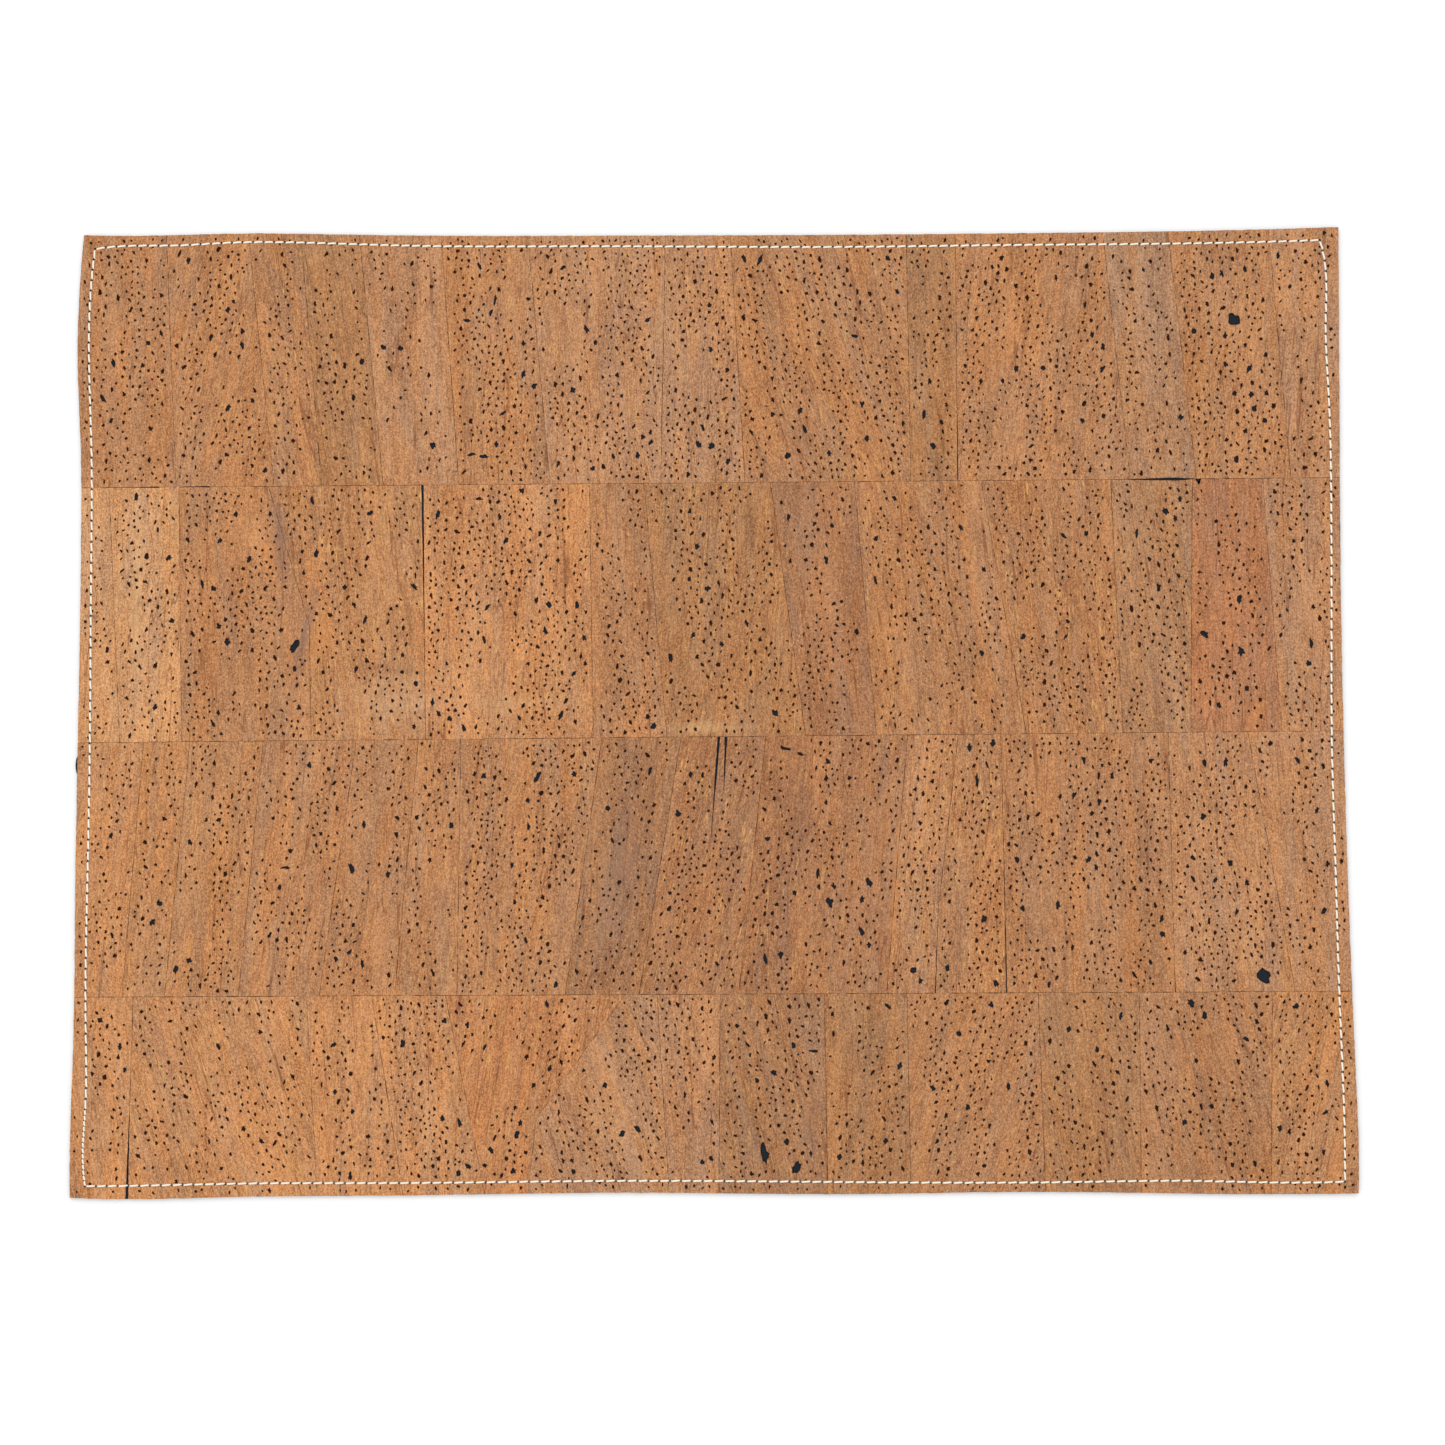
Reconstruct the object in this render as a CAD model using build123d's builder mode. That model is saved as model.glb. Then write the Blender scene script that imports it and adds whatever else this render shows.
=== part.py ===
from build123d import *

import os
from math import atan2, degrees
from typing import NamedTuple

# A desk mat of natural cork fabric, sewn round its edge to a thin lining.
# Millimetres. +X runs along the long side, +Y towards the far side, +Z up.
# The origin is on the table, under the middle of the mat.

# ---- driving dimensions -------------------------------------------------------------------

LINING_THICKNESS = 0.9
CLOTH_THICKNESS = 0.3
CORK_THICKNESS = 0.5

THREAD_WIDTH = 0.7
THREAD_HEIGHT = 0.35
NEEDLE_HOLE_RADIUS = 0.5
THREAD_CLEARANCE = 0.1
TACK_RISE = 0.3
BOBBIN_BASE = 0.05
GROOVE_WIDTH = 1.2
GROOVE_DEPTH = 0.45

JOINT_GAP = 0.06

CLOTH_BASE = LINING_THICKNESS
CORK_BASE = CLOTH_BASE + CLOTH_THICKNESS
CORK_TOP = CORK_BASE + CORK_THICKNESS

# The two threads lock into each other between the lining and the cloth.
LOCK_HEIGHT = LINING_THICKNESS

# ---- outline: cut by hand with a knife, so each side wanders by a millimetre or two ---------------

FAR_LEFT = (-224.3, 171.5)
FAR_RIGHT = (225.7, 171.6)
NEAR_RIGHT = (225.6, -170.8)
NEAR_LEFT = (-224.4, -171.2)

FAR_SIDE = [
    FAR_LEFT, (-205, 171.1), (-172, 171.7), (-122, 170.9), (-33, 170.1),
    (48, 169.9), (120, 170.1), (173, 170.5), FAR_RIGHT,
]
RIGHT_SIDE = [
    FAR_RIGHT, (225.3, 139), (224.5, 90), (223.8, 25), (223.8, -10),
    (224.4, -75), (225.7, -135), (226.0, -157), NEAR_RIGHT,
]
NEAR_SIDE = [
    NEAR_RIGHT, (168, -170.8), (107, -170.0), (54, -170.6), (-33, -169.9),
    (-112, -170.7), (-165, -171.0), (-209, -171.7), NEAR_LEFT,
]
LEFT_SIDE = [
    NEAR_LEFT, (-224.6, -155), (-223.9, -115), (-224.0, -70), (-223.8, 0),
    (-223.7, 50), (-224.5, 97), (-226.0, 129), (-225.8, 145), FAR_LEFT,
]

# A sliver of the cloth was missed by the knife and sticks out at the left side.
SLIVER_CENTRE = (-223.9, -19.5)
SLIVER_RADII = (0.8, 3.2)

# ---- seam: four runs of lockstitch between the corner holes -----------------------------------

STITCH_PITCH = 3.8
STITCH_LENGTH = 3.3
BACK_TACK_STITCHES = 7

FAR_LEFT_HOLE = (-220.1, 166.3)
FAR_RIGHT_HOLE = (218.9, 166.8)
NEAR_RIGHT_HOLE = (220.9, -166.7)
NEAR_LEFT_HOLE = (-219.0, -167.1)

FAR_RUN = [
    FAR_LEFT_HOLE, (-214.6, 167.0), (-191, 167.4), (-172, 168.3), (-150, 168.3), (-107, 166.8),
    (-42, 166.2), (43, 165.4), (108, 165.7), (172, 165.9), FAR_RIGHT_HOLE,
]
RIGHT_RUN = [
    FAR_RIGHT_HOLE, (220.8, 156), (220.4, 137), (220.9, 112), (221.0, 69), (220.2, 26),
    (219.5, -16), (219.9, -59), (220.3, -101), (221.1, -142), NEAR_RIGHT_HOLE,
]
NEAR_RUN = [
    NEAR_RIGHT_HOLE, (209, -167.0), (167, -166.3), (125, -166.6), (84, -166.7),
    (21, -166.1), (-42, -165.8), (-105, -166.3), (-168, -166.4), (-195, -166.9), NEAR_LEFT_HOLE,
]
LEFT_RUN = [
    NEAR_LEFT_HOLE, (-219.8, -160), (-219.2, -138), (-219.6, -110), (-219.8, -78), (-219.5, -36),
    (-219.6, 7), (-219.9, 50), (-220.4, 93), (-221.9, 136), FAR_LEFT_HOLE,
]

# ---- cork veneer: rows of planks, their joints, and where these have opened ----------------------


class Joint(NamedTuple):
    """A joint between two planks: its x at the row's far and near end, and where it bends."""

    far: float
    near: float
    bend: tuple = ()


# The seams between the rows, as their y at the left and at the right of the mat.
# The first and the last lie outside the mat, so that the end rows run out to its sides.
SEAMS = [(180, 180), (79.7, 81.0), (-11.5, -9.2), (-101.3, -100.7), (-180, -180)]
SEAM_REACH = 226.0
BEYOND = 235.0

ROW_JOINTS = {
    "a": [
        Joint(-195, -190), Joint(-166, -155), Joint(-147, -138), Joint(-126, -116),
        Joint(-96.5, -89), Joint(-65.5, -56.5), Joint(-15, -17), Joint(7.5, 13),
        Joint(71, 72), Joint(88.7, 88.7), Joint(140.5, 150),
        Joint(163.8, 173.5), Joint(200, 207),
    ],
    "b": [
        Joint(-214, -209), Joint(-189, -187), Joint(-157, -141, (-142, 30)),
        Joint(-102, -100.5), Joint(-42.5, -41), Joint(-23, -15), Joint(22, 34),
        Joint(52, 59), Joint(97, 112), Joint(143, 146), Joint(172, 170), Joint(197, 202),
    ],
    "c": [
        Joint(-200.5, -207), Joint(-184, -192), Joint(-158, -166), Joint(-125, -137.5),
        Joint(-103, -111), Joint(-88, -89), Joint(-38, -51), Joint(-10, -25),
        Joint(20, 10), Joint(70, 62), Joint(88, 79, (80.3, -71)), Joint(103, 104),
        Joint(162, 163), Joint(190, 205),
    ],
    "d": [
        Joint(-203, -204.5), Joint(-142, -137), Joint(-119, -106), Joint(-93, -77),
        Joint(-30, -65, (-61, -144)), Joint(-18.7, -14), Joint(3.5, 2.7), Joint(40, 41),
        Joint(69, 70), Joint(115, 117), Joint(150.5, 150), Joint(197, 195),
    ],
}


class Opening(NamedTuple):
    """A joint, seam or crack that has opened: a wedge from its mouth to its tip."""

    mouth: tuple
    tip: tuple
    width: float


OPENINGS = [
    Opening((-102.0, 80.1), (-100.9, 17.0), 0.8),
    Opening((-204.4, -173.0), (-203.7, -138.0), 1.0),
    Opening((5.9, -10.3), (5.0, -30.0), 0.9),
    Opening((3.4, -10.3), (0.4, -47.0), 0.9),
    Opening((88.7, 80.6), (88.7, 116.0), 0.35),
    Opening((104.0, -100.9), (103.2, -30.0), 0.35),
    Opening((79.0, -100.9), (80.3, -71.0), 0.35),
    Opening((163.0, -100.8), (162.9, -92.0), 0.35),
    Opening((166.0, 80.8), (146.0, 80.75), 1.1),
    Opening((166.0, 80.8), (174.0, 80.82), 1.1),
    Opening((-196.0, 79.8), (-215.0, 79.7), 0.4),
    Opening((-178.0, 79.9), (-192.0, 79.8), 0.4),
]


with BuildSketch() as outline:
    with BuildLine():
        Spline(*FAR_SIDE)
        Spline(*RIGHT_SIDE)
        Spline(*NEAR_SIDE)
        Spline(*LEFT_SIDE)
    make_face()


def seam_y(seam, x):
    """The seam's y at x."""
    left, right = SEAMS[seam]
    return left + (right - left) * (x + SEAM_REACH) / (2 * SEAM_REACH)


def joint_points(joint, row, side):
    """A joint's points from far to near, moved by half a joint gap to the given side."""
    shift = side * JOINT_GAP / 2
    far = (joint.far + shift, seam_y(row, joint.far) - JOINT_GAP / 2)
    near = (joint.near + shift, seam_y(row + 1, joint.near) + JOINT_GAP / 2)
    if joint.bend:
        return [far, (joint.bend[0] + shift, joint.bend[1]), near]
    return [far, near]


def wedge_corners(opening):
    """The corners of an opening: the two sides of its mouth, and its tip."""
    mouth = Vector(opening.mouth)
    tip = Vector(opening.tip)
    half_mouth = (tip - mouth).normalized().rotate(Axis.Z, 90) * (opening.width / 2)
    return [mouth + half_mouth, mouth - half_mouth, tip]


def within(points, corners):
    """The points that lie in the box of the corners, or just outside it."""
    xs = [corner[0] for corner in corners]
    ys = [corner[1] for corner in corners]
    reach = NEEDLE_HOLE_RADIUS + 1
    return [
        (x, y)
        for x, y in points
        if min(xs) - reach < x < max(xs) + reach and min(ys) - reach < y < max(ys) + reach
    ]


# ---- where the stitches lie -----------------------------------------------------------------------


def run_holes(run):
    """The needle holes of one run of the seam, evenly spaced, without the hole at its end."""
    with BuildLine() as line:
        Spline(*run)
    curve = line.edge()
    count = round(curve.length / STITCH_PITCH)
    places = [curve @ (i / count) for i in range(count)]
    return [(place.X, place.Y) for place in places]


def middle(a, b):
    """The point halfway between two points."""
    return ((a[0] + b[0]) / 2, (a[1] + b[1]) / 2)


def stitch_places(holes):
    """Where each stitch between neighbouring holes is centred, turned to lie along the seam."""
    return [
        Location((*middle(a, b), 0), (0, 0, degrees(atan2(b[1] - a[1], b[0] - a[0]))))
        for a, b in zip(holes, holes[1:])
    ]


left_holes = run_holes(LEFT_RUN)
seam_holes = run_holes(FAR_RUN) + run_holes(RIGHT_RUN) + run_holes(NEAR_RUN) + left_holes
tack_holes = [middle(a, b) for a, b in zip(left_holes, left_holes[1 : BACK_TACK_STITCHES + 1])]
needle_holes = seam_holes + tack_holes

seam_stitches = stitch_places(seam_holes + seam_holes[:1])
tack_stitches = stitch_places(tack_holes)

# The area inside the seam, whose edge the lining's groove follows from hole to hole.
with BuildSketch() as sewn_area:
    with BuildLine():
        Polyline(*seam_holes, close=True)
    make_face()


# ---- threads --------------------------------------------------------------------------------------


def make_thread(name, hole_low, hole_high, stitch_base, tack_base):
    """One of the lockstitch's threads: a stitch between each two holes and a leg in each hole."""
    with BuildPart() as thread:
        with BuildSketch(Plane.XY.offset(hole_low)):
            with Locations(*needle_holes):
                Circle(NEEDLE_HOLE_RADIUS - THREAD_CLEARANCE)
        extrude(amount=hole_high - hole_low)
        with BuildSketch(Plane.XY.offset(stitch_base)):
            with Locations(*seam_stitches):
                SlotOverall(STITCH_LENGTH, THREAD_WIDTH)
        extrude(amount=THREAD_HEIGHT)
        with BuildSketch(Plane.XY.offset(tack_base)):
            with Locations(*tack_stitches):
                SlotOverall(STITCH_PITCH, THREAD_WIDTH)
        extrude(amount=THREAD_HEIGHT)
    thread.part.label = name
    export_step(thread.part, f"parts/{name}.step")


# ---- sheets ---------------------------------------------------------------------------------------


def make_backing_cloth():
    """The textile that the cork planks are glued to."""
    with BuildPart() as cloth:
        with BuildSketch(Plane.XY.offset(CLOTH_BASE)):
            add(outline.sketch)
            with Locations(SLIVER_CENTRE):
                Ellipse(*SLIVER_RADII)
            with Locations(*needle_holes):
                Circle(NEEDLE_HOLE_RADIUS, mode=Mode.SUBTRACT)
        extrude(amount=CLOTH_THICKNESS)
    cloth.part.label = "backing_cloth"
    export_step(cloth.part, "parts/backing_cloth.step")


def make_underside_lining():
    """The sheet that lies on the table, grooved where the bobbin thread is pulled into it."""
    with BuildPart() as lining:
        with BuildSketch():
            add(outline.sketch)
            offset(sewn_area.sketch, GROOVE_WIDTH / 2, kind=Kind.INTERSECTION, mode=Mode.SUBTRACT)
            offset(sewn_area.sketch, -GROOVE_WIDTH / 2, kind=Kind.INTERSECTION, mode=Mode.ADD)
        extrude(amount=GROOVE_DEPTH)
        with BuildSketch(Plane.XY.offset(GROOVE_DEPTH)):
            add(outline.sketch)
            with Locations(*needle_holes):
                Circle(NEEDLE_HOLE_RADIUS, mode=Mode.SUBTRACT)
        extrude(amount=LINING_THICKNESS - GROOVE_DEPTH)
    lining.part.label = "underside_lining"
    export_step(lining.part, "parts/underside_lining.step")


# ---- cork planks ----------------------------------------------------------------------------------


def make_plank(name, row, left, right):
    """One plank of the veneer, between two joints, cut to the mat's outline."""
    corners = joint_points(left, row, 1) + joint_points(right, row, -1)[::-1]
    with BuildPart() as plank:
        with BuildSketch(Plane.XY.offset(CORK_BASE)):
            add(outline.sketch)
            with BuildLine():
                Polyline(*corners, close=True)
            make_face(mode=Mode.INTERSECT)
            for opening in OPENINGS:
                with BuildLine():
                    Polyline(*wedge_corners(opening), close=True)
                make_face(mode=Mode.SUBTRACT)
            holes = within(needle_holes, corners)
            if holes:
                with Locations(*holes):
                    Circle(NEEDLE_HOLE_RADIUS, mode=Mode.SUBTRACT)
        extrude(amount=CORK_THICKNESS)
    plank.part.label = name
    export_step(plank.part, f"parts/{name}.step")


os.makedirs("parts", exist_ok=True)

make_underside_lining()
make_backing_cloth()

for row, (letter, joints) in enumerate(ROW_JOINTS.items()):
    edges = [Joint(-BEYOND, -BEYOND), *joints, Joint(BEYOND, BEYOND)]
    for number, (left, right) in enumerate(zip(edges, edges[1:]), start=1):
        make_plank(f"cork_plank_{letter}{number:02d}", row, left, right)

make_thread("needle_thread", LOCK_HEIGHT, CORK_TOP, CORK_TOP, CORK_TOP + TACK_RISE)
make_thread("bobbin_thread", BOBBIN_BASE, LOCK_HEIGHT, BOBBIN_BASE, BOBBIN_BASE)
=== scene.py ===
import math
import random
from typing import NamedTuple

import bpy
from mathutils import Matrix, Vector, noise
from mathutils.geometry import delaunay_2d_cdt


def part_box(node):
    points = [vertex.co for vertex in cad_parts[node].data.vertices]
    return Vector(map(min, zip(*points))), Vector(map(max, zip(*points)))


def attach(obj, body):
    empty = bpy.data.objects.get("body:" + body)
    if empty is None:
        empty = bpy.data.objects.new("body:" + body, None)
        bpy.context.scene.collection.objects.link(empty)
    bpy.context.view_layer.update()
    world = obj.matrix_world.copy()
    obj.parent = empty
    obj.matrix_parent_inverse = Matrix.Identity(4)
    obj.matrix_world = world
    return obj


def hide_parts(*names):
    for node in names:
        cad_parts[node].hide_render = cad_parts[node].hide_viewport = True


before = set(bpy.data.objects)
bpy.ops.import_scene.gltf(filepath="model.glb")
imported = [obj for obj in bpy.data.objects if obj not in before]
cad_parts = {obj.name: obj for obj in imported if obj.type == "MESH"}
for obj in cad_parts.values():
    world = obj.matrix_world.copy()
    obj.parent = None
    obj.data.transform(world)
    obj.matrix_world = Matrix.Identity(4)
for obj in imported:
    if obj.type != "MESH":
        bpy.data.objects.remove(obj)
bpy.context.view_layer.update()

# A desk mat of cork fabric. Lengths are in millimetres until a mesh is made, and then in metres.

MM = 0.001

LINING = "underside_lining"
CLOTH = "backing_cloth"
PLANKS = sorted(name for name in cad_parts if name.startswith("cork_plank_"))

CORK_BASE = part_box(PLANKS[0])[0].z / MM
CORK_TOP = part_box(PLANKS[0])[1].z / MM

NEEDLE_HOLE_RADIUS = 0.5


def linear(red, green, blue):
    """A colour given as 0 to 255 per channel, as the shaders want it."""
    channels = [c / 255 for c in (red, green, blue)]
    return tuple(c / 12.92 if c <= 0.04045 else ((c + 0.055) / 1.055) ** 2.4 for c in channels)


# ---- how each plank looks -----------------------------------------------------------------------

TONES = {
    "cream": linear(200, 147, 103),
    "honey": linear(194, 136, 91),
    "sand": linear(187, 131, 87),
    "tan": linear(182, 128, 87),
    "oak": linear(178, 125, 85),
    "ash": linear(173, 125, 88),
    "umber": linear(172, 122, 82),
    "russet": linear(189, 128, 83),
    "brick": linear(174, 118, 82),
    "fawn": linear(183, 132, 94),
    "smoke": linear(176, 130, 95),
    "slate": linear(166, 119, 84),
    "mauve": linear(168, 117, 81),
}

# Each row's planks from left to right. Row a is at the far side.
ROW_TONES = {
    "a": "tan tan tan umber fawn tan fawn fawn oak umber tan smoke tan fawn",
    "b": "cream cream tan sand honey tan umber mauve oak oak ash brick fawn",
    "c": "honey sand sand tan tan tan tan slate mauve mauve fawn tan oak fawn fawn",
    "d": "honey honey honey honey russet fawn fawn slate umber oak umber oak sand",
}

# How thickly the pores lie on each plank: few, sparse, plain, dense or heavy.
ROW_PORES = {
    "a": "p p p s f h d h d p d s h s",
    "b": "p p p p d d p s s p d s s",
    "c": "s s h p d s d s d p d h d d p",
    "d": "s s p h s d p p s d s p p",
}
PORES_PER_CM2 = {"f": 2.8, "s": 5.4, "p": 8.0, "d": 11.0, "h": 14.5}

# How each plank is figured: quiet, flamed or wild.
ROW_FIGURES = {
    "a": "q f w f q f f f f q q q f q",
    "b": "q f q w f q f q f w f q q",
    "c": "f f f q q f f q w f w w q f q",
    "d": "f w f f w f q f q q q q f",
}
FIGURES = {"q": 0.15, "f": 0.6, "w": 1.0}


def plank_number(name):
    """The plank's place in its row, from 0 at the left."""
    return int(name[-2:]) - 1


def listed(rows, name):
    """What a table of rows says of the plank."""
    row = name[-3]
    return rows[row].split()[plank_number(name)]


class Pore(NamedTuple):
    """A pore: its place, its length and width, and its turn from the Y axis in degrees."""

    x: float
    y: float
    length: float
    width: float
    turn: float = 0


LARGE_PORES = [
    Pore(-211.6, 148.5, 2.2, 1.5), Pore(-200.8, 132, 2.3, 1.6), Pore(-186.5, 162, 2.4, 1.5),
    Pore(-189.6, 164.5, 3.0, 1.0, -20), Pore(-166.9, 136, 2.2, 1.6), Pore(-199.4, 100.8, 2.2, 1.5),
    Pore(-84.6, 91, 4.0, 1.2, 95), Pore(-80, 90.3, 4.0, 1.4, 84), Pore(-75.6, 91.6, 2.6, 1.2, 100),
    Pore(-76.3, 146.8, 3.6, 1.2, -8), Pore(-86.3, 139.5, 3.0, 1.2, 88), Pore(-73, 100.5, 2.2, 1.4),
    Pore(-130, 123.4, 2.2, 1.4), Pore(-135, 134, 2.2, 1.4), Pore(-115.4, 168.6, 2.2, 1.4),
    Pore(-4.6, 153.3, 2.2, 1.5), Pore(3.1, 149.5, 2.0, 1.4), Pore(1.1, 93.6, 2.7, 2.5, 10),
    Pore(-7.3, 83.3, 2.2, 1.5), Pore(-32.5, 119.3, 2.2, 1.4), Pore(-84.8, 103, 2.2, 1.4),
    Pore(18.8, 161, 4.2, 1.3, -32), Pore(49.8, 157, 2.2, 1.5), Pore(52.5, 133, 3.2, 1.2, 86),
    Pore(43, 90.7, 2.3, 1.6), Pore(54.8, 108.4, 2.3, 1.6), Pore(56.5, 96, 2.1, 1.6),
    Pore(59.9, 103.5, 2.0, 1.3), Pore(76.9, 104.6, 5.0, 1.2, -5), Pore(119.5, 121, 2.3, 1.5),
    Pore(107, 157, 2.3, 1.4), Pore(114, 146.5, 2.2, 1.4), Pore(135.6, 158, 2.2, 1.4),
    Pore(141, 128.6, 2.4, 1.5), Pore(133.3, 102, 2.3, 1.5), Pore(187.5, 138.6, 5.4, 4.2, 24),
    Pore(191.9, 156.7, 2.6, 1.6), Pore(183.8, 155, 2.4, 1.5), Pore(193, 120.5, 4.2, 1.5, -35),
    Pore(194, 115.2, 2.0, 1.4), Pore(187.8, 87.6, 2.6, 1.7), Pore(213.8, 159, 2.0, 1.4),
    Pore(-147.5, 22.4, 6.2, 2.8, -38), Pore(-151.6, 26.4, 2.2, 1.6), Pore(-168.5, 70, 2.5, 1.6),
    Pore(-200.3, 55, 2.2, 1.5), Pore(-180.3, 45, 3.4, 1.0, 6), Pore(-126, 78.2, 2.4, 1.5),
    Pore(-121.6, 54, 2.2, 1.5), Pore(-103.6, 70.5, 3.4, 1.2, 8), Pore(-82, 75, 3.2, 1.2, 92),
    Pore(-87.5, 50.5, 2.2, 1.5), Pore(-86.9, -7.0, 3.4, 1.2, 20), Pore(-31.6, 9.8, 2.2, 1.4),
    Pore(24.2, 43.3, 4.5, 1.3, -35), Pore(52.4, 26.8, 2.2, 1.5), Pore(78.1, 64, 2.2, 1.4),
    Pore(134.1, 61.4, 2.3, 1.5), Pore(162.5, 69.3, 3.2, 2.0, 40), Pore(167.4, 73.6, 2.2, 1.6),
    Pore(175.3, 25.5, 3.8, 2.3, 50), Pore(188.1, 19, 3.7, 2.6, 10), Pore(180, 0, 2.5, 1.7),
    Pore(118.5, 8.5, 2.2, 1.4), Pore(-61, -24.8, 4.6, 1.8, -28), Pore(-126.4, -56.3, 5.2, 1.7, 14),
    Pore(-110.6, -44.5, 2.5, 1.6), Pore(-113.4, -58.5, 2.5, 1.6), Pore(-150, -56, 3.2, 1.2, 84),
    Pore(-122, -41, 2.4, 1.5), Pore(-35.9, -35.6, 2.4, 1.5), Pore(-98.8, -53.5, 2.2, 1.4),
    Pore(-68.8, -68.6, 2.4, 1.5), Pore(26.6, -14.6, 5.6, 1.3, 76), Pore(32.2, -16.6, 3.0, 1.0, 70),
    Pore(91.9, -14.6, 2.8, 1.9), Pore(94.4, -26, 5.2, 1.4, 4), Pore(42.3, -69, 3.6, 2.3, 20),
    Pore(56, -62, 3.3, 2.0, 30), Pore(53.4, -68, 3.2, 2.0, -10), Pore(38.4, -63.4, 2.2, 1.6),
    Pore(29.8, -65.6, 2.2, 1.6), Pore(55.9, -84, 2.2, 1.6), Pore(19.4, -89, 4.4, 1.2, 6),
    Pore(122.3, -70, 4.2, 1.3, 3), Pore(135.9, -57, 2.3, 1.5), Pore(137.3, -34, 2.3, 1.5),
    Pore(159, -80.5, 2.7, 1.8, 20), Pore(183, -55.6, 2.7, 1.9), Pore(188.8, -62.6, 2.7, 1.8),
    Pore(194, -95.2, 5.8, 4.2, 35), Pore(200.6, -72.3, 2.5, 1.7), Pore(213.8, -37.3, 2.3, 1.5),
    Pore(83.4, -92.3, 2.5, 1.6), Pore(73.8, -96.6, 2.5, 1.6), Pore(-131.6, -88.2, 2.4, 1.5),
    Pore(-200.6, -156.6, 6.0, 1.8, 38), Pore(-88.4, -163.0, 2.7, 1.8), Pore(-83.5, -150, 2.7, 1.7),
    Pore(-94, -144, 2.5, 1.6), Pore(-66.6, -145.6, 2.5, 1.6), Pore(-56.3, -126.8, 2.5, 1.6),
    Pore(-106.9, -160.6, 2.4, 1.5), Pore(-125.4, -141.4, 2.3, 1.5), Pore(-25.6, -148, 3.0, 2.0, 40),
    Pore(18.8, -156.6, 7.0, 2.8, 8), Pore(29.6, -161.6, 5.2, 2.8, -34), Pore(26.4, -152.6, 2.6, 2.0),
    Pore(98.5, -105.0, 2.6, 1.9), Pore(87.1, -115, 2.4, 1.7), Pore(43.2, -114.8, 2.2, 1.5),
    Pore(36.3, -121, 3.4, 1.2, 88), Pore(90, -140.6, 2.5, 1.6), Pore(168.5, -104.6, 3.4, 2.6, 30),
    Pore(172.9, -109, 2.7, 1.9), Pore(165.5, -146, 2.3, 1.6), Pore(156, -141, 2.2, 1.5),
    Pore(189.8, -160.6, 2.4, 1.6), Pore(194.0, -155.6, 4.2, 1.2, 4), Pore(213.8, -156.5, 2.3, 1.5),
    Pore(186.0, 142.4, 2.4, 1.8), Pore(190.6, 142.4, 2.0, 1.8), Pore(184.6, 132.6, 2.2, 1.6),
    Pore(196.2, 118.4, 1.8, 1.6), Pore(199.0, 125.4, 2.0, 1.7), Pore(193.4, 111.0, 2.2, 1.8),
    Pore(187.6, 111.4, 2.0, 1.8), Pore(198.8, 111.6, 2.1, 1.6), Pore(194.6, 106.2, 2.3, 1.8),
    Pore(188.4, 105.0, 1.9, 1.6), Pore(201.4, 107.0, 1.9, 1.5), Pore(198.0, 101.6, 2.2, 1.7),
    Pore(191.2, 98.0, 2.0, 1.6), Pore(216.0, 158.6, 3.0, 1.8, 40), Pore(204.0, 161.4, 3.0, 1.2, -8),
    Pore(180.2, 154.0, 2.2, 1.6), Pore(187.8, 160.2, 2.2, 1.5), Pore(130.4, 79.0, 2.0, 1.4),
    Pore(39.5, -64.0, 2.6, 1.8, -40), Pore(43.6, -63.4, 2.4, 1.6, 20), Pore(53.2, -66.6, 2.4, 1.6),
    Pore(53.2, -79.2, 3.4, 1.9, 25), Pore(71.4, -93.0, 2.6, 2.2), Pore(80.0, -75.6, 2.2, 1.6),
    Pore(79.6, -69.6, 2.0, 1.5), Pore(79.4, -85.6, 2.2, 1.6), Pore(80.4, -89.0, 2.4, 1.8),
    Pore(19.2, -93.6, 3.8, 1.2, 28), Pore(-4.2, 57.6, 2.4, 1.8), Pore(-6.6, 70.2, 2.2, 1.6),
]


class SoftPatch(NamedTuple):
    """A soft patch of another colour: its place, half-length, half-width, turn and strength."""

    x: float
    y: float
    length: float
    width: float
    turn: float
    colour: tuple
    strength: float


ORANGE = linear(214, 136, 66)
STRAW = linear(222, 178, 128)
PALE = linear(226, 188, 150)
# Grey-brown: dim stains, and painted shadow along a crack.
GREY_STAIN_AND_SHADOW = linear(128, 100, 88)
BROWN = linear(128, 80, 50)

STAINS_AND_SHADOWS = [
    SoftPatch(-138, 26, 12, 5, 12, ORANGE, 0.45),
    SoftPatch(-157.5, 55, 11, 2.6, -4, ORANGE, 0.5),
    # These two grey streaks follow the curved crack near x = -150: partly the crack's own colour, partly
    # painted shadow of the crack.
    SoftPatch(-153, 62, 22, 3.0, -4, GREY_STAIN_AND_SHADOW, 0.6),
    SoftPatch(-144, 26, 24, 3.2, 12, GREY_STAIN_AND_SHADOW, 0.6),
    SoftPatch(-114, 14, 2.6, 15, 4, BROWN, 0.5),
    SoftPatch(-112, 3, 12, 22, 0, PALE, 0.28),
    SoftPatch(-66, 2, 3.6, 24, 0, STRAW, 0.3),
    SoftPatch(-2, -7.0, 2.8, 15, 0, STRAW, 0.45),
    SoftPatch(-203.5, 40, 42, 2.2, 0, STRAW, 0.5),
    SoftPatch(193, -4, 7, 4, 10, ORANGE, 0.5),
    SoftPatch(65, -66, 34, 2.0, 4, ORANGE, 0.35),
    SoftPatch(29, -56, 40, 7, 4, GREY_STAIN_AND_SHADOW, 0.2),
    SoftPatch(-30, -52, 36, 8, 9, GREY_STAIN_AND_SHADOW, 0.32),
    SoftPatch(36, -140, 30, 4, 0, GREY_STAIN_AND_SHADOW, 0.25),
]


# ---- loops: what the CAD faces are bounded by ---------------------------------------------------


def signed_area(loop):
    """The loop's area, positive when it runs counter-clockwise."""
    return sum(a[0] * b[1] - b[0] * a[1] for a, b in zip(loop, loop[1:] + loop[:1])) / 2


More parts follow.
